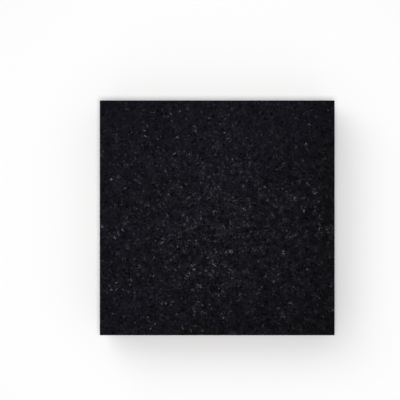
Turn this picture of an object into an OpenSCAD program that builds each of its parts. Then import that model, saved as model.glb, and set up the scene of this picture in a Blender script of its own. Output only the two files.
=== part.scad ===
// Flat no-lead chip package with two rows of pads, its lead frame, chip and bond wires.
// Millimetres. Z is up, the pads rest on z = 0 and the two rows run along X.
// Pin 1 is at the corner of -X and -Y, and the pins count anticlockwise seen from above.

/* [Moulded body] */
// Length of the body along the pad rows (X)
body_len = 3.00; // [2.80:0.05:4.00]
// Width of the body across the pad rows (Y)
body_wid = 3.00; // [2.80:0.05:4.00]
// Height of the top face above the seating plane
body_h = 0.75; // [0.70:0.05:1.00]
// How far the plated metal stands proud of the moulded underside
standoff = 0.02; // [0.01:0.005:0.04]

/* [Lead frame] */
// Full thickness of the copper strip that the leads and paddle are etched from
frame_t = 0.20; // [0.15:0.01:0.25]
// Thickness left where the strip is etched away from below
etched_t = 0.10; // [0.07:0.01:0.12]
// How far the exposed metal ends before the sawn side
pull_back = 0.03; // [0.02:0.005:0.06]
// Radius of the small outer corners of the etched metal
etch_r = 0.02; // [0.01:0.005:0.04]
// Least gap between a lead's buried land and the paddle's buried lip
frame_gap = 0.10; // [0.08:0.01:0.14]

/* [Leads] */
// Leads in each of the two rows
leads_per_row = 5; // [3:1:5]
// Distance from lead to lead
pitch = 0.50; // [0.40:0.05:0.50]
// Width of an exposed foot
foot_w = 0.23; // [0.18:0.01:0.28]
// Reach of a foot's round inner end from the sawn side
foot_len = 0.40; // [0.30:0.02:0.44]
// How much wider than the foot the buried land is on each side
land_side = 0.02; // [0.005:0.005:0.04]
// How far the buried land runs on past the foot's inner end
land_reach = 0.06; // [0.03:0.01:0.08]
// Radius of the buried land's inner corners
land_r = 0.06; // [0.03:0.01:0.08]

/* [Paddle] */
// Length of the exposed pad along X, without its arms
pad_len = 2.38; // [2.00:0.02:2.50]
// Width of the exposed pad along Y
pad_wid = 1.65; // [1.40:0.05:1.75]
// Leg of the 45 degree corner cut that marks pin 1
pin1_cut = 0.35; // [0.20:0.05:0.40]
// Width of the buried lip around the exposed pad
lip = 0.06; // [0.03:0.01:0.08]
// Width of a tie-bar arm
arm_w = 0.21; // [0.15:0.01:0.24]
// Distance between the two arms of a side, centre to centre
arm_pitch = 0.50; // [0.44:0.02:0.52]
// Radius of the hollow corners where an arm meets the exposed pad
arm_fillet = 0.08; // [0.04:0.01:0.09]
// Radius of the hollow corners where an arm meets the buried lip
lip_fillet = 0.05; // [0.03:0.01:0.06]

/* [Chip] */
// Length of the chip along X
die_len = 1.90; // [1.60:0.05:2.00]
// Width of the chip along Y
die_wid = 1.25; // [1.00:0.05:1.30]
// Thickness of the chip
die_t = 0.20; // [0.10:0.02:0.24]
// Thickness of the adhesive under the chip
attach_t = 0.025; // [0.015:0.005:0.04]
// How far the adhesive is squeezed out around the chip
attach_out = 0.06; // [0.02:0.01:0.08]
// How far the squeezed-out adhesive climbs the chip's sides
attach_climb = 0.06; // [0.02:0.01:0.08]
// Hollow of the adhesive's slope, from a straight slope at 0.5 to a deep hollow at 0.2
attach_hollow = 0.35; // [0.20:0.05:0.50]

/* [Bond wires] */
// Diameter of a bond wire
wire_d = 0.025; // [0.018:0.001:0.030]
// Diameter of the ball that is bonded to the chip
ball_d = 0.060; // [0.050:0.002:0.070]
// Height of that ball
ball_h = 0.016; // [0.012:0.001:0.020]
// Distance from ball to ball along the chip's edge
ball_pitch = 0.40; // [0.30:0.02:0.42]
// Distance of the balls from the chip's edge
ball_inset = 0.08; // [0.06:0.01:0.12]
// Height of the loop's steering point above the chip
loop_h = 0.17; // [0.14:0.01:0.19]
// Distance of a wire's flat end from the buried land's inner end
stitch_inset = 0.05; // [0.04:0.01:0.10]
// Length of that flat end
stitch_len = 0.05; // [0.03:0.01:0.06]
// Thickness of that flat end
stitch_t = 0.008; // [0.006:0.001:0.010]
// Width of that flat end
stitch_w = 0.045; // [0.030:0.005:0.060]

/* [Fineness] */
// Largest turn between two points of a rounded corner, in degrees
arc_step = 9; // [6:1:15]
// Sides of a bond wire
wire_sides = 8; // [8:4:16]
// Rings along a wire's loop
wire_rings = 14; // [10:2:24]

/* [Hidden] */
lead_count = 2 * leads_per_row;
function numbered(name, i) = str(name, i < 10 ? "_0" : "_", i);
// Sub-part to draw, or all of them
side_x = body_len / 2;
side_y = body_wid / 2;
etched_z = frame_t - etched_t;
foot_tip = side_y - foot_len;
land_tip = max(foot_tip - land_reach, pad_wid / 2 + lip + frame_gap);
die_z = frame_t + attach_t;
die_top = die_z + die_t;
ball_y = die_wid / 2 - ball_inset;
stitch_y = land_tip + stitch_inset;
// How far a cut runs past the block's faces, so that it never ends on one
over = 0.05;
// The bonded ball's form, as [share of its height, share of its radius] from the chip upward
ball_form = [[0, 0.80], [0.35, 1.00], [0.75, 0.92], [1, 0.48]];
// Where the loop's second steering point stands, as a share of the wire's span
loop_lean = 0.35;

// Rounded outlines
// An outline is a list of [x, y, radius] corners, and each corner turns into an arc
function arc(c, r, a0, a1) =
    let (steps = ceil(abs(a1 - a0) / arc_step))
    [for (k = [0 : steps]) let (a = a0 + (a1 - a0) * k / steps) c + r * [cos(a), sin(a)]];
function unit(v) = v / norm(v);
function turn(a) = a > 180 ? a - 360 : a < -180 ? a + 360 : a;
function corner(before, at, after) =
    let (
        c = [at[0], at[1]],
        u = unit([before[0], before[1]] - c),
        v = unit([after[0], after[1]] - c),
        half = acos(u * v) / 2,
        m = c + unit(u + v) * at[2] / sin(half),
        p = c + u * at[2] / tan(half) - m,
        q = c + v * at[2] / tan(half) - m,
        a0 = atan2(p[1], p[0])
    )
    arc(m, at[2], a0, a0 + turn(atan2(q[1], q[0]) - a0));
function rounded(list) =
    let (n = len(list))
    [for (i = [0 : n - 1], p = list[i][2] > 0
        ? corner(list[(i + n - 1) % n], list[i], list[(i + 1) % n])
        : [[list[i][0], list[i][1]]]) p];

// Leads
// A lead lies on X = 0 and points outward along +Y
foot_half = foot_w / 2;
foot_outline = concat(
    arc([foot_half - etch_r, side_y - pull_back - etch_r], etch_r, 0, 90),
    arc([etch_r - foot_half, side_y - pull_back - etch_r], etch_r, 90, 180),
    arc([0, foot_tip + foot_half], foot_half, 180, 360)
);
land_half = foot_half + land_side;
function land_outline(past) = rounded([
    [-land_half, side_y + past, 0],
    [-land_half, land_tip, land_r],
    [land_half, land_tip, land_r],
    [land_half, side_y + past, 0]
]);

module lead_form(past = 0) {
    linear_extrude(frame_t) polygon(foot_outline);
    translate([0, 0, etched_z]) linear_extrude(etched_t) polygon(land_outline(past));
}

// Leads 1 to leads_per_row run along -Y, and the others come back along +Y
function near_row(i) = i <= leads_per_row;
function lead_x(i) = near_row(i)
    ? (i - (leads_per_row + 1) / 2) * pitch
    : ((3 * leads_per_row + 1) / 2 - i) * pitch;

module at_lead(i) {
    translate([lead_x(i), 0, 0]) rotate([0, 0, near_row(i) ? 180 : 0]) children();
}

module lead(i, past = 0) {
    color("#a5a596") at_lead(i) lead_form(past);
}

// Paddle
// One outline serves for the exposed pad and, grown by its lip, for the buried part above it
function arm_side(s, edge, reach, w, fillet, r) = [
    [s * edge, s * (-arm_pitch / 2 - w), fillet],
    [s * reach, s * (-arm_pitch / 2 - w), r],
    [s * reach, s * (-arm_pitch / 2 + w), r],
    [s * edge, s * (-arm_pitch / 2 + w), fillet],
    [s * edge, s * (arm_pitch / 2 - w), fillet],
    [s * reach, s * (arm_pitch / 2 - w), r],
    [s * reach, s * (arm_pitch / 2 + w), r],
    [s * edge, s * (arm_pitch / 2 + w), fillet]
];
function paddle_outline(grow, reach, fillet, r) =
    let (
        a = pad_len / 2 + grow,
        b = pad_wid / 2 + grow,
        cut = pin1_cut + grow * (2 - sqrt(2)),
        w = arm_w / 2
    )
    rounded(concat(
        [[cut - a, -b, etch_r], [a, -b, etch_r]],
        arm_side(1, a, reach, w, fillet, r),
        [[a, b, etch_r], [-a, b, etch_r]],
        arm_side(-1, a, reach, w, fillet, r),
        [[-a, cut - b, etch_r]]
    ));

module die_paddle(past = 0) {
    color("#a5a596") {
        linear_extrude(frame_t)
            polygon(paddle_outline(0, side_x - pull_back, arm_fillet, etch_r));
        translate([0, 0, etched_z]) linear_extrude(etched_t)
            polygon(paddle_outline(lip, side_x + past, lip_fillet, 0));
    }
}

// Chip and adhesive
// The adhesive is squeezed out below the chip and climbs its sides in a sloping fillet
function ring(x, y, z) = [[-x, -y, z], [x, -y, z], [x, y, z], [-x, y, z]];

module attach_bank() {
    x = die_len / 2;
    y = die_wid / 2;
    mid = attach_out * attach_hollow;
    polyhedron(
        points = concat(
            ring(x + attach_out, y + attach_out, frame_t),
            ring(x + mid, y + mid, frame_t + (attach_t + attach_climb) * attach_hollow),
            ring(x, y, die_z + attach_climb)
        ),
        faces = concat(
            [[0, 1, 2, 3]],
            [for (k = [0, 4], i = [0 : 3]) [k + i, k + 4 + i, k + 4 + (i + 1) % 4, k + (i + 1) % 4]],
            [[11, 10, 9, 8]]
        )
    );
}

module die_attach() {
    color("#9a9a96") difference() {
        attach_bank();
        translate([-die_len / 2, -die_wid / 2, die_z]) cube([die_len, die_wid, die_t]);
    }
}

module die() {
    color("#4a4f58") translate([-die_len / 2, -die_wid / 2, die_z]) cube([die_len, die_wid, die_t]);
}

// Bond wires
// A wire is swept ring by ring in its own upright plane: ball, neck, loop and flattened end
function bezier(p, t) =
    p[0] * pow(1 - t, 3) + 3 * p[1] * t * pow(1 - t, 2) + 3 * p[2] * t * t * (1 - t) + p[3] * pow(t, 3);
function bezier_way(p, t) =
    3 * ((p[1] - p[0]) * pow(1 - t, 2) + 2 * (p[2] - p[1]) * t * (1 - t) + (p[3] - p[2]) * t * t);

// Each ring is [distance along the wire, height, tilt of its way, half width, half thickness]
function wire_list(span) =
    let (
        r = wire_d / 2,
        flat = stitch_t / 2,
        neck = die_top + ball_h + r,
        p = [
            [0, neck],
            [0, die_top + loop_h],
            [span * loop_lean, die_top + loop_h],
            [span - stitch_len, frame_t + stitch_t]
        ]
    )
    concat(
        [for (b = ball_form)
            let (ball_r = ball_d / 2 * b[1])
            [0, die_top + ball_h * b[0], 90, ball_r, ball_r]],
        [for (k = [0 : wire_rings])
            let (
                t = k / wire_rings,
                c = bezier(p, t),
                way = bezier_way(p, t),
                thin = pow(t, wire_rings / 2)
            )
            [c[0], c[1], atan2(way[1], way[0]), r, r * (1 - thin) + flat * thin]],
        [for (back = [stitch_len / 2, 0]) [span - back, frame_t + flat, 0, stitch_w / 2, flat]]
    );
function wire_ring(e) =
    [for (k = [0 : wire_sides - 1])
        let (
            a = 360 * (k + 0.5) / wire_sides,
            grow = 1 / cos(180 / wire_sides),
            across = e[3] * cos(a) * grow,
            up = e[4] * sin(a) * grow
        )
        [across, e[0] - up * sin(e[2]), e[1] + up * cos(e[2])]];

module wire_form(span) {
    list = wire_list(span);
    n = wire_sides;
    m = len(list);
    polyhedron(
        points = [for (e = list, p = wire_ring(e)) p],
        faces = concat(
            [for (k = [1 : n - 2]) [0, k + 1, k]],
            [for (j = [0 : m - 2], k = [0 : n - 1], half = [0, 1])
                let (
                    a = j * n + k,
                    b = j * n + (k + 1) % n
                )
                half == 0 ? [a, b, b + n] : [a, b + n, a + n]],
            [for (k = [1 : n - 2]) [(m - 1) * n, (m - 1) * n + k, (m - 1) * n + k + 1]]
        )
    );
}

module bond_wire(i) {
    out = near_row(i) ? -1 : 1;
    from = [lead_x(i) / pitch * ball_pitch, out * ball_y];
    to = [lead_x(i), out * (stitch_y + stitch_len)];
    way = to - from;
    color("#d9a93c")
        translate([from[0], from[1], 0])
        rotate([0, 0, atan2(way[1], way[0]) - 90])
        wire_form(norm(way));
}

// Moulded body
// The compound was cast around everything else, so each piece leaves its own form in it
module mould_body() {
    color("#1b1a1f") difference() {
        translate([-side_x, -side_y, standoff]) cube([body_len, body_wid, body_h - standoff]);
        for (i = [1 : lead_count]) lead(i, over);
        die_paddle(over);
        attach_bank();
        die();
        for (i = [1 : lead_count]) bond_wire(i);
    }
}

mould_body();
die_paddle();
die_attach();
die();
for (i = [1 : lead_count]) {
    lead(i);
    bond_wire(i);
}
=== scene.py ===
# %% [markdown]
# A flat no-lead chip package
#
# The part is a black moulded square, 3 mm on a side, with plated pads underneath. Its solids come from the
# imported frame, in metres, at their real size. This lesson dresses them: it wears the sawn rims of the
# moulded block, rounds the plating and the wires, and gives every surface a finish made of shader nodes.
# At this size a pixel of the picture is about 13 thousandths of a millimetre, so the grain of the moulding
# compound itself is what the eye sees.

# %% Load the frame
import math
import bmesh
import bpy
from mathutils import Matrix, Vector, noise


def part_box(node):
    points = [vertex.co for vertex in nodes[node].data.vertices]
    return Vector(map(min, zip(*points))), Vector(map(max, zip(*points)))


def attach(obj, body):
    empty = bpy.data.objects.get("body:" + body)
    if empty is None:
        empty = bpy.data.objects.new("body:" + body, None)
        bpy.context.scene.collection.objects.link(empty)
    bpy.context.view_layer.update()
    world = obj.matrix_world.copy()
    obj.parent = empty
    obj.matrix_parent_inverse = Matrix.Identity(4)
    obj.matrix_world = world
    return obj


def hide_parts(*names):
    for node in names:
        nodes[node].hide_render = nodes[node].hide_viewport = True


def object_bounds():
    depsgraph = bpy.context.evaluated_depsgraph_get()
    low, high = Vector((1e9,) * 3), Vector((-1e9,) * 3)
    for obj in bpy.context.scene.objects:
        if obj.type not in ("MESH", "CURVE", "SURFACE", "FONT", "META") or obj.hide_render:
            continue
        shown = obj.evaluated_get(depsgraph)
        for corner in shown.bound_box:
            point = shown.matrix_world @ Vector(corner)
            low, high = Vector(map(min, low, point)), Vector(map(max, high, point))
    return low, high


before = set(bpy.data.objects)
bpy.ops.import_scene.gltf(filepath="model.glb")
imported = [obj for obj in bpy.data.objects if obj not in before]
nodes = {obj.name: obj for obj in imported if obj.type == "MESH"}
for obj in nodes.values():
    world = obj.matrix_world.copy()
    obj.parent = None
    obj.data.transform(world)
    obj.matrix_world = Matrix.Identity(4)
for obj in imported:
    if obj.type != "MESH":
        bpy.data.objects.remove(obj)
cad_low, cad_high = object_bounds()
MM = 0.001
UM = 0.000001
block_low, block_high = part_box("mould_body")
side = block_high.x - block_low.x
print("CAD nodes", len(nodes), "body side in mm", round(side / MM, 3))

# %% [markdown]
# The camera
#
# The chip lies flat on its pads, so a face-on view of its top is a view straight down. The camera could be
# placed by eye. But the picture is 400 pixels wide and the chip fills a known share of it, which gives the
# width of the frame on the plane of the top face, and with the lens the camera's height. A long lens keeps
# the sides out of sight. The chip sits a little off the middle of the picture, so the camera moves sideways
# over it and needs no lens shift.

# %% Camera straight above the top face
FRAME_PX = 400
CHIP_PX = 235.0
CHIP_CENTRE_PX = (217.2, 217.85)
LENS_MM = 100
SENSOR_MM = 36
NEAR_CLIP = 0.5 * MM
FAR_CLIP = 5000 * MM
frame_width = side * FRAME_PX / CHIP_PX
px = frame_width / FRAME_PX
camera_data = bpy.data.cameras.new("camera")
camera_data.lens = LENS_MM
camera_data.sensor_width = SENSOR_MM
camera_data.clip_start = NEAR_CLIP
camera_data.clip_end = FAR_CLIP
camera = bpy.data.objects.new("camera", camera_data)
camera.location = (
    (FRAME_PX / 2 - CHIP_CENTRE_PX[0]) * px,
    (CHIP_CENTRE_PX[1] - FRAME_PX / 2) * px,
    block_high.z + frame_width * LENS_MM / SENSOR_MM,
)
bpy.context.scene.collection.objects.link(camera)
bpy.context.scene.camera = camera
print("frame width in mm", round(frame_width / MM, 3), "pixel in um", round(px / UM, 2))

# %% [markdown]
# Helpers for shader nodes
#
# A finish is a tree of nodes. Nodes can be placed by hand in Blender's editor, but a script reads better
# when each line names a value and says what it is made from. So one helper makes a node and fills its
# inputs, with plain values or with links, and shorter ones do arithmetic, smooth steps and colour mixes.
# Colours are written the way a picture shows them, from 0 to 255, and turned into linear light here.


# %% Nodes, arithmetic and colours
def put(tree, kind, inputs=None, **settings):
    """A new node with its settings, and with plain values or links at its inputs."""
    node = tree.nodes.new(kind)
    for name, value in settings.items():
        setattr(node, name, value)
    for name, value in (inputs or {}).items():
        if isinstance(value, bpy.types.NodeSocket):
            tree.links.new(value, node.inputs[name])
        else:
            node.inputs[name].default_value = value
    return node


def sums(tree, operation, a, b=0.0, clamp=False):
    return put(tree, "ShaderNodeMath", {0: a, 1: b}, operation=operation, use_clamp=clamp).outputs[0]


def times(tree, a, b):
    return sums(tree, "MULTIPLY", a, b)


def vector_sums(tree, operation, *inputs):
    return put(tree, "ShaderNodeVectorMath", dict(enumerate(inputs)), operation=operation).outputs[0]


def ramp(tree, value, low, high, to_low=0.0, to_high=1.0):
    """A smooth step from to_low to to_high while value goes from low to high."""
    ends = {"Value": value, "From Min": low, "From Max": high, "To Min": to_low, "To Max": to_high}
    return put(tree, "ShaderNodeMapRange", ends, interpolation_type="SMOOTHSTEP").outputs[0]


def mix(tree, share, a, b):
    """Colour a, with a share of colour b over it."""
    return put(tree, "ShaderNodeMix", {0: share, 6: a, 7: b}, data_type="RGBA").outputs[2]


def shade(r, g, b):
    def linear(c):
        c = c / 255
        return c / 12.92 if c <= 0.04045 else ((c + 0.055) / 1.055) ** 2.4

    return (linear(r), linear(g), linear(b), 1.0)


print("a mid grey of 128 in linear light", round(shade(128, 128, 128)[0], 3))


# %% Materials and node groups
def new_finish(name):
    """A new material with only its output and a Principled shader."""
    material = bpy.data.materials.new(name)
    material.use_nodes = True
    tree = material.node_tree
    tree.nodes.clear()
    shader = put(tree, "ShaderNodeBsdfPrincipled")
    output = put(tree, "ShaderNodeOutputMaterial")
    tree.links.new(shader.outputs[0], output.inputs[0])
    return material, tree, shader


def group(name, inputs, outputs):
    """A new node group. Place and Normal are vectors, the other sockets numbers."""
    tree = bpy.data.node_groups.new(name, "ShaderNodeTree")

    def socket(label, way):
        kind = "NodeSocketVector" if label in ("Place", "Normal") else "NodeSocketFloat"
        return tree.interface.new_socket(label, in_out=way, socket_type=kind)

    socket("Place", "INPUT")
    for label, value in inputs.items():
        socket(label, "INPUT").default_value = value
    for label in outputs:
        socket(label, "OUTPUT")
    return tree, put(tree, "NodeGroupInput").outputs, put(tree, "NodeGroupOutput").inputs


def use(tree, shared, **inputs):
    """The outputs of a shared node group, placed in a tree with values of its own."""
    return put(tree, "ShaderNodeGroup", inputs, node_tree=shared).outputs


print("materials that came with the frame", len(bpy.data.materials))

# %% [markdown]
# The studio floor
#
# The chip lies on white, so a plain pale floor is under it and takes its shadow. One large plane would do
# for the view from above. But the part is looked at from below too, so the floor has an opening that the
# chip covers, is clear from behind, and fades into the white of the world a few millimetres away. A dark
# sheet that only the camera sees stands in the opening for the shadow under the chip.

# %% Finish of the stage
FLOOR_HALF = 9 * MM
FADE_START = 4 * MM
FLOOR_WHITE = shade(250, 250, 250)
SHADOW_GREY = shade(60, 60, 60)
MATT_ROUGHNESS = 0.9


def stage_finish(name, colour):
    """A matt finish that is clear from behind, and fades out far from the chip."""
    material, tree, shader = new_finish(name)
    shader.inputs["Base Color"].default_value = colour
    shader.inputs["Roughness"].default_value = MATT_ROUGHNESS
    shader.inputs["Specular IOR Level"].default_value = 0.0
    behind = put(tree, "ShaderNodeNewGeometry").outputs["Backfacing"]
    place = put(tree, "ShaderNodeTexCoord").outputs["Object"]
    far = put(tree, "ShaderNodeVectorMath", {0: place}, operation="LENGTH").outputs["Value"]
    gone = sums(tree, "MAXIMUM", behind, ramp(tree, far, FADE_START, FLOOR_HALF))
    clear = put(tree, "ShaderNodeBsdfTransparent")
    both = put(tree, "ShaderNodeMixShader", {0: gone, 1: shader.outputs[0], 2: clear.outputs[0]})
    tree.links.new(both.outputs[0], tree.nodes["Material Output"].inputs[0])
    return material


white = stage_finish("studio_white", FLOOR_WHITE)
dark = stage_finish("shadow", SHADOW_GREY)
print("floor fades out from", FADE_START / MM, "to", FLOOR_HALF / MM, "mm")

# %% Floor and shadow sheet
OPENING_SHARE = 0.985
FLOOR_DROP = 0.2 * UM


def flat_piece(name, rings, faces, height, material):
    """A flat piece of the stage, made of square rings of corners."""
    bm = bmesh.new()
    corners = []
    for half in rings:
        for x, y in ((-half, -half), (half, -half), (half, half), (-half, half)):
            corners.append(bm.verts.new((x, y, height)))
    for face in faces:
        bm.faces.new([corners[i] for i in face])
    mesh = bpy.data.meshes.new(name)
    bm.to_mesh(mesh)
    bm.free()
    mesh.materials.append(material)
    made = bpy.data.objects.new(name, mesh)
    bpy.context.scene.collection.objects.link(made)
    return made


opening = side / 2 * OPENING_SHARE
around = [(i, (i + 1) % 4, (i + 1) % 4 + 4, i + 4) for i in range(4)]
floor_height = cad_low[2] - FLOOR_DROP
flat_piece("studio_floor", [FLOOR_HALF, opening], around, floor_height, white)
sheet = flat_piece("under_shadow", [side / 2], [(0, 1, 2, 3)], floor_height - FLOOR_DROP, dark)
sheet.visible_diffuse = False
sheet.visible_glossy = False
sheet.visible_shadow = False
print("opening in the floor in mm", round(2 * opening / MM, 3))

# %% [markdown]
# Lamps and world
#
# The middle of the top face is a little brighter than its rim: that is the reflection of a small lamp close
# above, which also keeps the shadow narrow. A large softbox far up on the left lights floor and sides. The
# world gives an even fill, and shows as white to the camera, in reflections and through anything clear. A
# lamp's power could be found by trial. Here it is worked out from the share of white that the lamp alone
# gives a white floor, so the light stays at a plain level wherever a lamp is put.

# %% Lamp and softbox
LAMP_PLACE = Vector((-0.1, -0.25, 14.5)) * MM
LAMP_SIZE = 1.65 * MM
LAMP_SHARE = 0.48
SOFTBOX_PLACE = Vector((-160, 160, 300)) * MM
SOFTBOX_SIZE = 300 * MM
SOFTBOX_SHARE = 0.28


def area_lamp(name, place, size, share):
    """A square lamp aimed at the chip, that lights a white floor there by the given share of white."""
    data = bpy.data.lights.new(name, "AREA")
    data.size = size
    fall = place.normalized().z
    data.energy = share * math.pi**2 * place.length_squared / fall
    lamp = bpy.data.objects.new(name, data)
    lamp.location = place
    lamp.rotation_euler = (-place).to_track_quat("-Z", "Y").to_euler()
    lamp.visible_camera = False
    bpy.context.scene.collection.objects.link(lamp)
    print(name, "watts", round(data.energy, 5))


area_lamp("lamp", LAMP_PLACE, LAMP_SIZE, LAMP_SHARE)
area_lamp("softbox", SOFTBOX_PLACE, SOFTBOX_SIZE, SOFTBOX_SHARE)

# %% World
FILL_SHARE = 0.38
world = bpy.data.worlds.new("studio")
world.use_nodes = True
tree = world.node_tree
tree.nodes.clear()
light_path = put(tree, "ShaderNodeLightPath").outputs
shown = sums(tree, "MAXIMUM", light_path["Is Camera Ray"], light_path["Is Glossy Ray"])
shown = sums(tree, "MAXIMUM", shown, light_path["Is Transmission Ray"])
strength = ramp(tree, shown, 0.0, 1.0, FILL_SHARE, 1.0)
background = put(tree, "ShaderNodeBackground", {"Color": (1, 1, 1, 1), "Strength": strength})
output = put(tree, "ShaderNodeOutputWorld")
tree.links.new(background.outputs[0], output.inputs[0])
bpy.context.scene.world = world
bpy.context.scene.view_settings.view_transform = "Standard"
print("shares of white on the floor", LAMP_SHARE, SOFTBOX_SHARE, FILL_SHARE)

# %% [markdown]
# Specks and pits
#
# Moulding compound is epoxy packed with broken grains of silica. A grain at the surface shows as a small
# light speck, and where one fell out it leaves a dark pit. They could be thousands of tiny meshes, but a
# cell texture gives each its own place, size and strength for almost nothing. Its cells are too round for
# broken grains, so noise pulls them out of shape. The group is shared: with other values it makes the pits
# of the plating and the silver flakes of the adhesive.

# %% Specks
SPECK_FINENESS = 1.3


def warped_cells(tree, given, fineness):
    """A cell texture pulled out of shape by noise, which is finer than the cells by a factor."""
    wave = times(tree, given["Scale"], fineness)
    drift = put(tree, "ShaderNodeTexNoise", {"Vector": given["Place"], "Scale": wave, "Detail": 1})
    drift = vector_sums(tree, "SUBTRACT", drift.outputs["Color"], (0.5, 0.5, 0.5))
    pull = sums(tree, "DIVIDE", given["Warp"], given["Scale"])
    place = vector_sums(tree, "MULTIPLY_ADD", drift, pull, given["Place"])
    return put(tree, "ShaderNodeTexVoronoi", {"Vector": place, "Scale": given["Scale"]}).outputs


defaults = {"Scale": 30000, "Warp": 1.6, "Share": 0.4, "Radius": 0.4}
specks, given, out = group("grain_specks", defaults, ["Mask"])
cells = warped_cells(specks, given, SPECK_FINENESS)
chance = put(specks, "ShaderNodeSeparateColor", {0: cells["Color"]}).outputs
size = times(specks, given["Radius"], ramp(specks, chance[2], 0, 1, 0.55, 1.25))
core = times(specks, size, 0.25)
dot = ramp(specks, cells["Distance"], core, size, 1.0, 0.0)
picked = sums(specks, "LESS_THAN", chance[0], given["Share"])
strong = times(specks, picked, ramp(specks, chance[1], 0, 1, 0.25, 1.0))
specks.links.new(times(specks, dot, strong), out["Mask"])
print(specks.name, "nodes", len(specks.nodes))

# %% [markdown]
# Mottle
#
# No real surface has one even shade: resin flows, plating grows in clouds and metal tarnishes. A painted
# picture of such clouds would fit only one piece. Noise in the part's own space fits all of them, so one
# group with a scale and a contrast serves every finish, from wide clouds to fine grain.

# %% Mottle
mottle, given, out = group("mottle", {"Scale": 3000, "Detail": 3, "Contrast": 1}, ["Value"])
waves = {"Vector": given["Place"], "Scale": given["Scale"], "Detail": given["Detail"]}
cloud = put(mottle, "ShaderNodeTexNoise", waves).outputs[0]
spread = times(mottle, sums(mottle, "SUBTRACT", cloud, 0.5), given["Contrast"])
mottle.links.new(sums(mottle, "ADD", spread, 0.5, clamp=True), out["Value"])
print(mottle.name, "nodes", len(mottle.nodes))

# %% [markdown]
# Facets
#
# Close up, a matt face is a field of tiny planes that lean all ways, and the few that lean the right way
# mirror the lamp as sparks. A bump of noise would be simpler, but it gives soft waves and no sparks. So
# each cell of a warped cell texture leans by a chance of its own. Spread is the most that a facet leans.
# At a Peak of 1 every lean up to that is equally common, and a lower one leaves more facets almost level.

# %% Facets
FACET_FINENESS = 0.7
defaults = {"Scale": 40000, "Warp": 1.0, "Spread": 0.3, "Peak": 0.3}
facets, given, out = group("facets", defaults, ["Normal", "Tone"])
cells = warped_cells(facets, given, FACET_FINENESS)
chance = vector_sums(facets, "MULTIPLY_ADD", cells["Color"], (2, 2, 2), (-1, -1, -1))
steep = vector_sums(facets, "ABSOLUTE", chance)
least = times(facets, given["Peak"], given["Spread"])
rest = sums(facets, "SUBTRACT", given["Spread"], least)
span = vector_sums(facets, "MULTIPLY_ADD", steep, rest, least)
lean = vector_sums(facets, "MULTIPLY", chance, span)
level_normal = put(facets, "ShaderNodeNewGeometry").outputs["Normal"]
leaning = vector_sums(facets, "ADD", level_normal, lean)
facets.links.new(vector_sums(facets, "NORMALIZE", leaning), out["Normal"])
tone = put(facets, "ShaderNodeSeparateColor", {0: cells["Color"]}).outputs[2]
facets.links.new(tone, out["Tone"])
print(facets.name, "nodes", len(facets.nodes))

# %% [markdown]
# Saw lines
#
# The package was cut from a panel by a thin disc blade, which leaves fine arcs on the sides. They follow a
# circle so large that they look almost level. Cut into the mesh they would take very many faces, and a wave
# texture would be too regular. Noise over the height alone gives lines of uneven width. The height is bent
# along the blade's circle first, and a slow noise breaks the lines up.

# %% Saw lines
BLADE_RADIUS = 27 * MM
saw_lines, given, out = group("saw_lines", {"Scale": 36000}, ["Value"])
spot = put(saw_lines, "ShaderNodeSeparateXYZ", {0: given["Place"]}).outputs
along = sums(saw_lines, "ADD", spot[0], spot[1])
sag = sums(saw_lines, "DIVIDE", times(saw_lines, along, along), 2 * BLADE_RADIUS)
height = sums(saw_lines, "ADD", spot[2], sag)
waves = {"W": height, "Scale": given["Scale"], "Detail": 4}
fine = put(saw_lines, "ShaderNodeTexNoise", waves, noise_dimensions="1D").outputs[0]
gaps = {"Vector": given["Place"], "Scale": 5000, "Detail": 2}
broken = put(saw_lines, "ShaderNodeTexNoise", gaps).outputs[0]
lines = ramp(saw_lines, fine, 0.42, 0.68)
kept = ramp(saw_lines, broken, 0.35, 0.62, 0.1, 1.0)
saw_lines.links.new(times(saw_lines, lines, kept), out["Value"])
print("node groups", [g.name for g in bpy.data.node_groups])

# %% [markdown]
# The moulding compound
#
# The whole block is one compound: its top was moulded against steel, its underside against a film, and its
# sides were sawn. Each could have a material on faces of its own. But the worn rims have no clear border,
# so one material tells the three apart by the way a point faces, and blends between them. They share their
# grain, because the grains go right through the block.

# %% Ways that the block faces
compound, tree, shader = new_finish("moulded_epoxy")
coordinates = put(tree, "ShaderNodeTexCoord").outputs
place = coordinates["Object"]
spot = put(tree, "ShaderNodeSeparateXYZ", {0: place}).outputs
facing = put(tree, "ShaderNodeSeparateXYZ", {0: coordinates["Normal"]}).outputs[2]
upward = ramp(tree, facing, 0.5, 0.8)
downward = ramp(tree, facing, -0.5, -0.8)
level = sums(tree, "ADD", upward, downward, clamp=True)
print("faces told apart, nodes", len(tree.nodes))

# %% Grain of the compound
grain = use(tree, mottle, Place=place, Scale=22000, Detail=2, Contrast=2.0)["Value"]
patch = use(tree, mottle, Place=place, Scale=9000, Detail=2, Contrast=1.8)["Value"]
small = use(tree, specks, Place=place, Scale=36000, Share=0.50, Radius=0.42)["Mask"]
large = use(tree, specks, Place=place, Scale=17000, Share=0.30, Radius=0.34)["Mask"]
stray = use(tree, specks, Place=place, Scale=24000, Share=0.12, Radius=0.46)["Mask"]
pits = use(tree, specks, Place=place, Scale=30000, Share=0.58, Radius=0.60)["Mask"]
facet = use(tree, facets, Place=place, Scale=46000, Warp=2.6, Spread=0.14, Peak=0.28)
sawn = use(tree, saw_lines, Place=place)["Value"]
print("with grain, nodes", len(tree.nodes))
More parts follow.
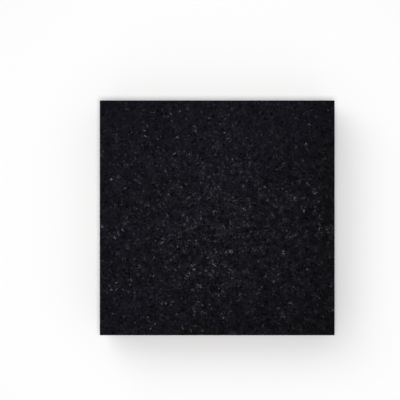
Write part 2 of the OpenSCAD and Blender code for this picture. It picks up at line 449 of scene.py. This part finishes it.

# %% [markdown]
# The top skin
#
# Against the matt steel of the mould, resin closes over the grains. The result is a blue-black skin with
# greyer patches where grains lie close under it, dark pits, and a few light specks, partly grains that show
# through and partly painted glints. Painted light lies over it: the skin is painted bluer and lighter
# toward one corner, and more neutral and darker toward the opposite one. One noise could colour all of it,
# but
# layers are easier to adjust: each effect is a mix of one more shade over the last, by a mask of its own.

# %% Top skin
PAINTED_LIGHT_FALL = 0.8
NEUTRAL_BLACK = shade(6, 6, 6)
BLUE_BLACK = shade(12, 11, 18)
THIN_RESIN = shade(20, 19, 25)
PIT_BLACK = shade(2, 2, 3)
COVERED_GRAIN_AND_GLINT = shade(92, 91, 98)
# Painted light: this slope paints the top bluer and lighter toward low x and high y, darker at the opposite
# corner.
slope = times(tree, sums(tree, "SUBTRACT", spot[1], spot[0]), PAINTED_LIGHT_FALL / side)
cloud = use(tree, mottle, Place=place, Scale=900, Detail=1, Contrast=2.0)["Value"]
mottle_and_painted_light = sums(tree, "ADD", cloud, slope, clamp=True)
skin = mix(tree, mottle_and_painted_light, NEUTRAL_BLACK, BLUE_BLACK)
skin = mix(tree, ramp(tree, patch, 0.3, 0.75, 0.0, 0.5), skin, THIN_RESIN)
skin = mix(tree, ramp(tree, pits, 0.0, 0.5), skin, PIT_BLACK)
# Painted glints, in part: light specks in the base colour, both grains under the skin and sparks not made
# by the lamp.
grain_and_painted_glint = sums(tree, "MAXIMUM", times(tree, small, 0.7), large)
grain_and_painted_glint = times(tree, grain_and_painted_glint, ramp(tree, patch, 0.2, 0.7, 0.35, 1.0))
skin = mix(tree, times(tree, grain_and_painted_glint, 0.10), skin, COVERED_GRAIN_AND_GLINT)
print("with top skin, nodes", len(tree.nodes))

# %% [markdown]
# Underside and sawn sides
#
# The underside was moulded against a smooth film, which leaves it plain black with a stray light grain here
# and there. The saw cuts resin and grains alike, so the sides are greyer, and show cut grains, the lines of
# the blade and pits. Both are layered like the top, from the same masks: what differs is only which
# mask is used, how strongly, and its shade.

# %% Underside and sawn sides
FILM_DARK = shade(17, 17, 19)
FILM_PALE = shade(36, 35, 39)
FILM_SHADOW = shade(10, 10, 11)
STRAY_GRAIN = shade(124, 124, 128)
film = mix(tree, grain, FILM_DARK, FILM_PALE)
film = mix(tree, ramp(tree, facet["Tone"], 0.0, 1.0, 0.5, 0.0), film, FILM_SHADOW)
film = mix(tree, times(tree, stray, 0.9), film, STRAY_GRAIN)

CUT_DARK = shade(24, 24, 25)
CUT_PALE = shade(50, 49, 50)
BLADE_LINE = shade(72, 71, 71)
SMALL_GRAIN = shade(120, 119, 116)
LARGE_GRAIN = shade(126, 125, 122)
LOST_GRAIN = shade(12, 12, 13)
cut = mix(tree, facet["Tone"], CUT_DARK, CUT_PALE)
cut = mix(tree, times(tree, sawn, 0.3), cut, BLADE_LINE)
cut = mix(tree, times(tree, small, 0.45), cut, SMALL_GRAIN)
cut = mix(tree, times(tree, large, 0.7), cut, LARGE_GRAIN)
cut = mix(tree, pits, cut, LOST_GRAIN)
colour = mix(tree, level, cut, mix(tree, downward, skin, film))
tree.links.new(colour, shader.inputs["Base Color"])
print("with underside and sides, nodes", len(tree.nodes))

# %% [markdown]
# Gloss and relief of the compound
#
# The compound mirrors very little, with a cool tinge, and what it mirrors comes from single facets. They
# could all share one roughness, but then the top would glow evenly. So some facets are smooth, most are
# duller, and thick resin and pits are the dullest. Grain and saw lines are raised by a bump node on top of
# the facets, because at a thousandth of a millimetre they are far finer than any mesh needs to be.

# %% Gloss and relief
MIRRORED = 0.018
COOL_TINGE = (0.86, 0.84, 1.0, 1.0)
GRAIN_RELIEF = 1 * UM
rough = ramp(tree, facet["Tone"], 0.35, 0.95, 0.36, 0.13)
rough = sums(tree, "ADD", rough, ramp(tree, patch, 0.35, 0.62, 0.12, 0.0))
rough = sums(tree, "ADD", rough, times(tree, pits, 0.5))
tree.links.new(rough, shader.inputs["Roughness"])
shader.inputs["Specular IOR Level"].default_value = MIRRORED
shader.inputs["Specular Tint"].default_value = COOL_TINGE
height = sums(tree, "ADD", grain, times(tree, patch, 0.6))
saw_height = times(tree, sawn, ramp(tree, level, 0, 1, 0.8, 0.0))
height = sums(tree, "ADD", height, saw_height)
relief = {"Strength": 1.0, "Distance": GRAIN_RELIEF, "Height": height, "Normal": facet["Normal"]}
tree.links.new(put(tree, "ShaderNodeBump", relief).outputs[0], shader.inputs["Normal"])
print(compound.name, "nodes", len(tree.nodes))

# %% [markdown]
# Matt tin over copper
#
# Leads and pad are etched from one copper strip. Their feet are plated with matt tin, bare copper shows
# where the saw cut through, and inside the block the copper is dull, with thin silver on its upper face for
# the wires. Each could be a material on chosen faces. As the strip is flat, place alone tells them apart:
# feet lie below the block's underside, cut ends lie in the plane of its sides, and silver lies on top.

# %% Places on the metal
CUT_REACH = 1.5 * UM
plated, tree, shader = new_finish("tin_over_copper")
place = put(tree, "ShaderNodeTexCoord").outputs["Object"]
spot = put(tree, "ShaderNodeSeparateXYZ", {0: place}).outputs
off_x = sums(tree, "ABSOLUTE", spot[0])
off_y = sums(tree, "ABSOLUTE", spot[1])
reach = sums(tree, "MAXIMUM", off_x, off_y)
cut_end = sums(tree, "GREATER_THAN", reach, side / 2 - CUT_REACH)
inside = sums(tree, "GREATER_THAN", spot[2], block_low.z + UM)
paddle_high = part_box("die_paddle")[1]
wide_pad = sums(tree, "LESS_THAN", off_y, paddle_high.y)
upper = sums(tree, "GREATER_THAN", spot[2], paddle_high.z - UM)
print("wide pad within y of", round(paddle_high.y / MM, 3), "silver above", round(paddle_high.z / MM, 3))

# %% Clouds, crystals and pits of the plating
cloud = use(tree, mottle, Place=place, Scale=9000, Detail=3, Contrast=2.4)["Value"]
fine = use(tree, mottle, Place=place, Scale=34000, Detail=2, Contrast=4.0)["Value"]
worn = use(tree, mottle, Place=place, Scale=1900, Detail=2, Contrast=2.4)["Value"]
crystal = use(tree, facets, Place=place, Scale=40000, Warp=1.5, Spread=0.3, Peak=0.5)
pits = use(tree, specks, Place=place, Scale=26000, Share=0.56, Radius=0.70)["Mask"]
pits = times(tree, pits, sums(tree, "SUBTRACT", 1.0, inside))
sawn = use(tree, saw_lines, Place=place)["Value"]
print("with plating effects, nodes", len(tree.nodes))

# %% [markdown]
# Shades of the metal
#
# Matt tin is a fine-grained grey with an olive cast, made of small crystals with dark pits between them. On
# the wide pad it is greyer than on the small feet, which draw more tin for their size from the plating
# bath. A single grey with a bump would look like paint. So crystals, grain, pits and worn clouds each
# change the shade, and copper and silver get shades of their own from the same masks.

# %% Tin
DEEP_FOOT = shade(166, 170, 138)
PALE_FOOT = shade(200, 205, 192)
DEEP_PAD = shade(158, 156, 136)
PALE_PAD = shade(200, 197, 192)
CRYSTAL = shade(224, 224, 214)
GRAIN_SHADOW = shade(112, 113, 94)
PIT = shade(26, 26, 20)
WORN_TIN = shade(112, 110, 90)
deep = mix(tree, wide_pad, DEEP_FOOT, DEEP_PAD)
pale = mix(tree, wide_pad, PALE_FOOT, PALE_PAD)
tin = mix(tree, cloud, deep, pale)
tin = mix(tree, ramp(tree, crystal["Tone"], 0.0, 1.0, 0.0, 0.5), tin, CRYSTAL)
tin = mix(tree, times(tree, fine, 0.55), tin, GRAIN_SHADOW)
tin = mix(tree, times(tree, pits, 0.95), tin, PIT)
tin = mix(tree, ramp(tree, worn, 0.45, 0.85, 0.0, 0.35), tin, WORN_TIN)
print("with tin, nodes", len(tree.nodes))

# %% Copper and silver
COPPER_DEEP = shade(138, 86, 60)
COPPER_PALE = shade(176, 118, 86)
COPPER_LINE = shade(208, 160, 128)
DULL_DEEP = shade(132, 84, 62)
DULL_PALE = shade(166, 112, 84)
SILVER_DEEP = shade(164, 162, 154)
SILVER_PALE = shade(196, 194, 188)
copper = mix(tree, cloud, COPPER_DEEP, COPPER_PALE)
copper = mix(tree, times(tree, sawn, 0.7), copper, COPPER_LINE)
dull = mix(tree, fine, DULL_DEEP, DULL_PALE)
silver = mix(tree, fine, SILVER_DEEP, SILVER_PALE)
metal_colour = mix(tree, inside, tin, mix(tree, upper, dull, silver))
tree.links.new(mix(tree, cut_end, metal_colour, copper), shader.inputs["Base Color"])
print("with copper and silver, nodes", len(tree.nodes))

# %% Gloss and relief of the metal
PLATING_RELIEF = 2 * UM
shader.inputs["Metallic"].default_value = 1.0
tree.links.new(ramp(tree, fine, 0.2, 0.8, 0.36, 0.55), shader.inputs["Roughness"])
height = sums(tree, "SUBTRACT", times(tree, fine, 0.5), pits)
height = sums(tree, "ADD", height, times(tree, sawn, cut_end))
smooth = put(tree, "ShaderNodeNewGeometry").outputs["Normal"]
choice = {0: inside, 4: crystal["Normal"], 5: smooth}
lean = put(tree, "ShaderNodeMix", choice, data_type="VECTOR").outputs[1]
relief = {"Strength": 0.6, "Distance": PLATING_RELIEF, "Height": height, "Normal": lean}
tree.links.new(put(tree, "ShaderNodeBump", relief).outputs[0], shader.inputs["Normal"])
print(plated.name, "nodes", len(tree.nodes))

# %% [markdown]
# The silicon chip
#
# The chip is sealed in and never shows from outside, but the part can be opened up. Its face is laid out in
# blocks of fine circuits under a thin film that turns them blue and violet. A bright line runs around it
# near the edge, and each wire's ball sits on a square pad of aluminium. The blocks could be drawn one by
# one. A brick texture lays out uneven rows by itself, and the pads follow from the wires, where they are
# measured, so that they stay under the balls.

# %% Places of the pads
die_low, die_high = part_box("die")


def ball_place(node):
    """The middle of the ring on which a wire's ball stands on the chip."""
    ring = [v.co for v in nodes[node].data.vertices if abs(v.co.z - die_high.z) < UM]
    return sum(ring, Vector()) / len(ring)


first_ball = ball_place("bond_wire_01")
pad_pitch = ball_place("bond_wire_02").x - first_ball.x
pad_row = abs(first_ball.y)
print("pad pitch in mm", round(pad_pitch / MM, 3), "pad row at", round(pad_row / MM, 3))

# %% Circuit blocks
BLUE_FILM = shade(74, 82, 112)
VIOLET_FILM = shade(122, 108, 132)
BLOCK_BORDER = shade(140, 140, 140)
CIRCUIT_GREY = shade(150, 148, 152)
silicon, tree, shader = new_finish("silicon_chip")
coordinates = put(tree, "ShaderNodeTexCoord").outputs
place = coordinates["Object"]
rows = {"Vector": place, "Scale": 3600, "Mortar Size": 0.02, "Brick Width": 2.3, "Row Height": 1.3}
rows.update({"Color1": BLUE_FILM, "Color2": VIOLET_FILM, "Mortar": BLOCK_BORDER})
blocks = put(tree, "ShaderNodeTexBrick", rows, offset=0.37, squash=0.6, squash_frequency=3).outputs[0]
rows = {"Vector": place, "Scale": 52000, "Mortar Size": 0.06}
rows.update({"Color1": (0, 0, 0, 1), "Color2": (1, 1, 1, 1)})
circuits = put(tree, "ShaderNodeTexBrick", rows, offset=0.5).outputs[0]
tone = put(tree, "ShaderNodeSeparateColor", {0: circuits}).outputs[0]
layout = mix(tree, times(tree, tone, 0.3), blocks, CIRCUIT_GREY)
print("circuit blocks, nodes", len(tree.nodes))

# %% Pads and edge line
PAD_HALF = 38 * UM
EDGE_LINE = (26 * UM, 34 * UM)
BARE_EDGE = shade(96, 98, 104)
ALUMINIUM = shade(206, 206, 204)
spot = put(tree, "ShaderNodeSeparateXYZ", {0: place}).outputs
off_x = sums(tree, "ABSOLUTE", spot[0])
off_y = sums(tree, "ABSOLUTE", spot[1])
step = sums(tree, "FRACT", sums(tree, "ADD", sums(tree, "DIVIDE", spot[0], pad_pitch), 0.5))
beside = times(tree, sums(tree, "ABSOLUTE", sums(tree, "SUBTRACT", step, 0.5)), pad_pitch)
beyond = sums(tree, "ABSOLUTE", sums(tree, "SUBTRACT", off_y, pad_row))
pad = sums(tree, "LESS_THAN", sums(tree, "MAXIMUM", beside, beyond), PAD_HALF)
edge_x = sums(tree, "SUBTRACT", die_high.x, off_x)
edge_y = sums(tree, "SUBTRACT", die_high.y, off_y)
to_edge = sums(tree, "MINIMUM", edge_x, edge_y)
bare = sums(tree, "LESS_THAN", to_edge, EDGE_LINE[0])
line = sums(tree, "GREATER_THAN", to_edge, EDGE_LINE[0])
line = times(tree, line, sums(tree, "LESS_THAN", to_edge, EDGE_LINE[1]))
bright = sums(tree, "MAXIMUM", pad, line)
layout = mix(tree, bare, layout, BARE_EDGE)
layout = mix(tree, bright, layout, ALUMINIUM)
print("with pads and edge line, nodes", len(tree.nodes))

# %% Face and sawn sides of the chip
SAWN_DARK = shade(84, 86, 90)
SAWN_PALE = shade(128, 130, 134)
facing = put(tree, "ShaderNodeSeparateXYZ", {0: coordinates["Normal"]}).outputs[2]
sawn = mix(tree, use(tree, saw_lines, Place=place)["Value"], SAWN_DARK, SAWN_PALE)
colour = mix(tree, ramp(tree, facing, 0.4, 0.8), sawn, layout)
tree.links.new(colour, shader.inputs["Base Color"])
shader.inputs["Metallic"].default_value = 0.6
rough = ramp(tree, sums(tree, "MAXIMUM", tone, bright), 0, 1, 0.16, 0.3)
tree.links.new(rough, shader.inputs["Roughness"])
print(silicon.name, "nodes", len(tree.nodes))

# %% [markdown]
# Adhesive and gold
#
# The chip is glued down with a resin full of silver flakes, and its wires are soft gold, drawn through a
# fine hole. A plain metal shader would suit both from afar. Opened up and enlarged, the adhesive shows
# single flakes, which the shared specks give, and the wire shows faint changes of gloss, which fine mottle
# gives.

# %% Adhesive
RESIN_SILVER = shade(146, 145, 140)
FLAKE_SILVER = shade(214, 213, 208)
adhesive, tree, shader = new_finish("flaked_adhesive")
place = put(tree, "ShaderNodeTexCoord").outputs["Object"]
flakes = use(tree, specks, Place=place, Scale=52000, Share=0.7, Radius=0.5)["Mask"]
tree.links.new(mix(tree, flakes, RESIN_SILVER, FLAKE_SILVER), shader.inputs["Base Color"])
shader.inputs["Metallic"].default_value = 0.7
tree.links.new(ramp(tree, flakes, 0, 1, 0.6, 0.3), shader.inputs["Roughness"])
print(adhesive.name, "nodes", len(tree.nodes))

# %% Gold
GOLD_DEEP = shade(206, 154, 66)
GOLD_PALE = shade(234, 190, 100)
gold, tree, shader = new_finish("gold_wire")
place = put(tree, "ShaderNodeTexCoord").outputs["Object"]
drawn = use(tree, mottle, Place=place, Scale=70000, Detail=2, Contrast=1.5)["Value"]
tree.links.new(mix(tree, drawn, GOLD_DEEP, GOLD_PALE), shader.inputs["Base Color"])
shader.inputs["Metallic"].default_value = 1.0
tree.links.new(ramp(tree, drawn, 0, 1, 0.18, 0.32), shader.inputs["Roughness"])
print(gold.name, "nodes", len(tree.nodes))

# %% [markdown]
# A box with worn rims
#
# Block and chip were both sawn from something larger. A plain box would be too perfect, because a saw
# breaks crumbs from the edges, and a bevel would round all edges evenly, as if they were polished. So a
# fine skin of a box is built, closer meshed toward its edges, and its rims are worn back by noise: a little
# everywhere, with crumbs here and there. All of it goes inward, so the size stays true.

# %% Fine skin of a box
CELL = 22 * UM
RIM_STEPS = [0, 2.5 * UM, 6 * UM, 11 * UM, 18 * UM]


def graded(low, high):
    """Steps from low to high, with fine ones at both ends."""
    inner_low = low + RIM_STEPS[-1]
    inner_high = high - RIM_STEPS[-1]
    count = max(2, round((inner_high - inner_low) / CELL))
    middle = [inner_low + (inner_high - inner_low) * i / count for i in range(1, count)]
    return [low + s for s in RIM_STEPS] + middle + [high - s for s in reversed(RIM_STEPS)]


def box_skin(xs, ys, zs):
    """The closed surface of a box, meshed at the given steps."""
    bm = bmesh.new()
    made = {}

    def vert(i, j, k):
        if (i, j, k) not in made:
            made[i, j, k] = bm.verts.new((xs[i], ys[j], zs[k]))
        return made[i, j, k]

    last = (len(xs) - 1, len(ys) - 1, len(zs) - 1)
    for axis in range(3):
        a, b = (axis + 1) % 3, (axis + 2) % 3
        for end in (0, last[axis]):
            for i in range(last[a]):
                for j in range(last[b]):
                    corners = []
                    for u, v in ((i, j), (i + 1, j), (i + 1, j + 1), (i, j + 1)):
                        index = [0, 0, 0]
                        index[axis], index[a], index[b] = end, u, v
                        corners.append(vert(*index))
                    bm.faces.new(corners if end else corners[::-1])
    return bm


print("steps along a side of the block", len(graded(block_low.x, block_high.x)))

# %% Wear
RIM = 12 * UM
EVEN_WEAR = 1.2 * UM
CRUMB_DEPTH = 7 * UM
CRUMB_START = 0.25
SLOW_WAVE = 160 * UM
SLOW_SHARE = 0.5
QUICK_WAVE = 35 * UM
QUICK_SHIFT = Vector((7, 3, 1))


def wear_depth(place):
    """How deep the rim is worn at a place: a little everywhere, and crumbs here and there."""
    slow = noise.noise(place / SLOW_WAVE)
    quick = noise.noise(place / QUICK_WAVE + QUICK_SHIFT)
    crumb = max(0.0, slow * SLOW_SHARE + quick - CRUMB_START)
    return EVEN_WEAR + CRUMB_DEPTH * crumb


def wear_rims(bm, low, high):
    """Push the points near an edge inward across both of its faces."""
    for v in bm.verts:
        nearness = []
        for axis in range(3):
            to_low, to_high = v.co[axis] - low[axis], high[axis] - v.co[axis]
            gap, inward = (to_low, 1) if to_low < to_high else (to_high, -1)
            nearness.append((max(0.0, 1 - gap / RIM), inward))
        start = v.co.copy()
        for a, b in ((0, 1), (1, 2), (2, 0)):
            near = nearness[a][0] * nearness[b][0]
            if near > 0:
                depth = wear_depth(start) * near * near
                v.co[a] += nearness[a][1] * depth
                v.co[b] += nearness[b][1] * depth


print("wear at one corner in um", round(wear_depth(block_high) / UM, 2))

# %% Worn box
INSET = 0.2 * UM
SHARP_ANGLE = math.radians(40)


def set_smooth(bm):
    """Smooth shading, with edges kept sharp where faces turn by more than the sharp angle."""
    for face in bm.faces:
        face.smooth = True
    for edge in bm.edges:
        edge.smooth = len(edge.link_faces) == 2 and edge.calc_face_angle(0.0) < SHARP_ANGLE


def worn_box(name, corners):
    """A mesh of a fine box with worn rims, a hair inside the two given corners."""
    hair = Vector((INSET, INSET, INSET))
    low, high = corners[0] + hair, corners[1] - hair
    bm = box_skin(graded(low.x, high.x), graded(low.y, high.y), graded(low.z, high.z))
    wear_rims(bm, low, high)
    set_smooth(bm)
    mesh = bpy.data.meshes.new(name)
    bm.to_mesh(mesh)
    bm.free()
    return mesh


skin_mesh = worn_box("moulded_block", (block_low, block_high))
print("box skin faces", len(skin_mesh.polygons))

# %% [markdown]
# The moulded block
#
# The block was cast around everything else, so it is hollow where leads, pad, chip and wires lie. The CAD
# solid has those hollows, but plain outsides. Its edges could be worn in place, yet its long triangles give
# noise nothing to move. So the two are cut together: a boolean modifier keeps what fine box and CAD solid
# have in common, which is the outside of the one with the hollows of the other.

# %% Cast form
WELD_GAP = 0.02 * UM


def welded(mesh):
    """A CAD mesh as a bmesh, with its double points joined."""
    bm = bmesh.new()
    bm.from_mesh(mesh)
    bmesh.ops.remove_doubles(bm, verts=bm.verts, dist=WELD_GAP)
    return bm


cast = bpy.data.meshes.new("cast_form")
bm = welded(nodes["mould_body"].data)
bm.to_mesh(cast)
bm.free()
cast_object = bpy.data.objects.new("cast_form", cast)
bpy.context.scene.collection.objects.link(cast_object)
print("cast form faces", len(cast.polygons))

# %% Box cut to the cast form
SLIVER = 0.1 * UM


def with_modifier(mesh, kind, **settings):
    """A copy of the mesh with one modifier applied."""
    holder = bpy.data.objects.new("holder", mesh)
    bpy.context.scene.collection.objects.link(holder)
    modifier = holder.modifiers.new(kind, kind)
    for name, value in settings.items():
        setattr(modifier, name, value)
    bpy.context.view_layer.update()
    evaluated = holder.evaluated_get(bpy.context.evaluated_depsgraph_get())
    result = bpy.data.meshes.new_from_object(evaluated)
    bpy.data.objects.remove(holder)
    return result


common = {"operation": "INTERSECT", "solver": "MANIFOLD", "object": cast_object}
block_mesh = with_modifier(skin_mesh, "BOOLEAN", **common)
bpy.data.objects.remove(cast_object)
bm = bmesh.new()
bm.from_mesh(block_mesh)
bmesh.ops.dissolve_degenerate(bm, dist=SLIVER, edges=bm.edges)
set_smooth(bm)
bm.to_mesh(block_mesh)
bm.free()
print("faces after the cut", len(block_mesh.polygons))


# %% Moulded block in place of its solid
def piece(name, mesh, material, node):
    """A finished piece that stands for a CAD node."""
    mesh.name = name
    mesh.materials.clear()
    mesh.materials.append(material)
    made = bpy.data.objects.new(name, mesh)
    bpy.context.scene.collection.objects.link(made)
    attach(made, "root")
    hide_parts(node)
    return made


block = piece("moulded_block", block_mesh, compound, "mould_body")
print("made", block.name)

# %% [markdown]
# Leads and pad
#
# A plated foot isn't a sharp prism: the tin rounds its edges and lies a little unevenly. A foot could be
# modelled anew, but its solid already has the true form. So each piece starts as a copy of it. The edges
# around the exposed face are bevelled, the face is cut into small cells, and its points are dented by
# noise, always inward, so that the size stays true.

# %% Faces cut into cells
PLATED_CELL = 22 * UM
PLANE_GAP = 0.05 * UM


def cut_into_cells(bm, chosen, cell):
    """Cut the chosen faces by upright planes across X and Y, about a cell apart."""
    for axis in range(2):
        places = [v.co[axis] for v in bm.verts]
        low, high = min(places), max(places)
        normal = Vector((axis == 0, axis == 1, 0))
        count = round((high - low) / cell)
        for i in range(1, count):
            at = normal * (low + (high - low) * i / count)
            faces = [f for f in bm.faces if chosen(f)]
            parts = set(faces) | {e for f in faces for e in f.edges} | {v for f in faces for v in f.verts}
            bmesh.ops.bisect_plane(bm, geom=list(parts), dist=PLANE_GAP, plane_co=at, plane_no=normal)


lead_low, lead_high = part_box("lead_01")
print("cells across a lead", round((lead_high.x - lead_low.x) / PLATED_CELL))

# %% Plated copies of the metal
LEVEL_NORMAL = 0.99
PLATED_RIM = 9 * UM
RIM_ANGLE = 1.0
ROUND_STEPS = 3
FLAT_ANGLE = math.radians(1)
DENT = 2.2 * UM
DENT_WAVE = 45 * UM
FOOT_LEVEL = 0.5 * UM


def exposed(face):
    """Whether a face is the underside of a foot."""
    return face.normal.z < -LEVEL_NORMAL and face.calc_center_median().z < UM


def plated_mesh(source):
    """A copy of a CAD mesh with a rounded and slightly dented foot."""
    bm = welded(source)
    bmesh.ops.dissolve_limit(bm, angle_limit=FLAT_ANGLE, verts=bm.verts, edges=bm.edges)
    rim = {e for f in bm.faces if exposed(f) for e in f.edges if e.calc_face_angle(0.0) > RIM_ANGLE}
    rounding = {"offset": PLATED_RIM, "segments": ROUND_STEPS, "profile": 0.5, "affect": "EDGES"}
    bmesh.ops.bevel(bm, geom=list(rim), **rounding)
    cut_into_cells(bm, exposed, PLATED_CELL)
    for v in bm.verts:
        if v.co.z < FOOT_LEVEL:
            v.co.z += DENT * (0.5 + 0.5 * noise.noise(v.co / DENT_WAVE))
    set_smooth(bm)
    mesh = bpy.data.meshes.new("plated")
    bm.to_mesh(mesh)
    bm.free()
    return mesh


metal = ["die_paddle"] + sorted(n for n in nodes if n.startswith("lead_"))
for node in metal:
    made = piece("plated_" + node, plated_mesh(nodes[node].data), plated, node)
print("plated pieces", len(metal), "faces of the last", len(made.data.polygons))

# %% [markdown]
# Chip and wires
#
# The chip gets the same worn box as the block. A wire could be swept anew along a curve, but its solid
# already has the true route. So a copy of it is turned from triangles back to four-sided faces and rounded
# by a subdivision surface. The edges around its ends are creased, so that they stay flat where they are
# bonded.

# %% Chip
die = piece("sawn_die", worn_box("sawn_die", (die_low, die_high)), silicon, "die")
print("chip faces", len(die.data.polygons))

# %% Wires
WIRE_LEVELS = 2
QUAD_ANGLE = math.radians(35)
CREASE_ANGLE = math.radians(60)


def rounded_wire(source):
    """A copy of a wire's CAD mesh, rounded but for the edges of its ends."""
    bm = welded(source)
    limits = {"angle_face_threshold": QUAD_ANGLE, "angle_shape_threshold": QUAD_ANGLE}
    bmesh.ops.join_triangles(bm, faces=bm.faces, **limits)
    crease = bm.edges.layers.float.new("crease_edge")
    for edge in bm.edges:
        edge[crease] = float(edge.calc_face_angle(0.0) > CREASE_ANGLE)
    mesh = bpy.data.meshes.new("wire")
    bm.to_mesh(mesh)
    bm.free()
    mesh = with_modifier(mesh, "SUBSURF", levels=WIRE_LEVELS)
    for face in mesh.polygons:
        face.use_smooth = True
    return mesh


wires = sorted(n for n in nodes if n.startswith("bond_wire_"))
for node in wires:
    made = piece("drawn_" + node, rounded_wire(nodes[node].data), gold, node)
print("wires", len(wires), "faces of the last", len(made.data.polygons))

# %% [markdown]
# The adhesive
#
# Pressed out under the chip, the adhesive climbs its sides in a soft bank. A subdivision surface would pull
# the bank away from the chip and the pad. So only its slope is cut into small cells, and their points are
# pulled inward by noise, less and less toward the chip, which leaves the borders where they are.

# %% Adhesive bank
BANK_CELL = 16 * UM
BANK_DENT = 4 * UM
BANK_WAVE = 50 * UM
GAP_SHARE = 0.25
UPRIGHT_NORMAL = 0.05


def sloping(face):
    """Whether a face is part of the bank's slope, not level and not upright."""
    return UPRIGHT_NORMAL < face.normal.z < LEVEL_NORMAL


def soft_bank(source):
    """A copy of the adhesive's CAD mesh with an uneven slope."""
    bm = welded(source)
    cut_into_cells(bm, sloping, BANK_CELL)
    bmesh.ops.dissolve_degenerate(bm, dist=SLIVER, edges=bm.edges)
    bm.normal_update()
    for v in bm.verts:
        if all(sloping(f) for f in v.link_faces):
            gap = max(abs(v.co.x) - die_high.x, abs(v.co.y) - die_high.y)
            uneven = 0.5 + 0.5 * noise.noise(v.co / BANK_WAVE)
            v.co -= v.normal * min(BANK_DENT, gap * GAP_SHARE) * uneven
    set_smooth(bm)
    mesh = bpy.data.meshes.new("bank")
    bm.to_mesh(mesh)
    bm.free()
    return mesh


bank_mesh = soft_bank(nodes["die_attach"].data)
bank = piece("adhesive_bank", bank_mesh, adhesive, "die_attach")
print("adhesive faces", len(bank.data.polygons))
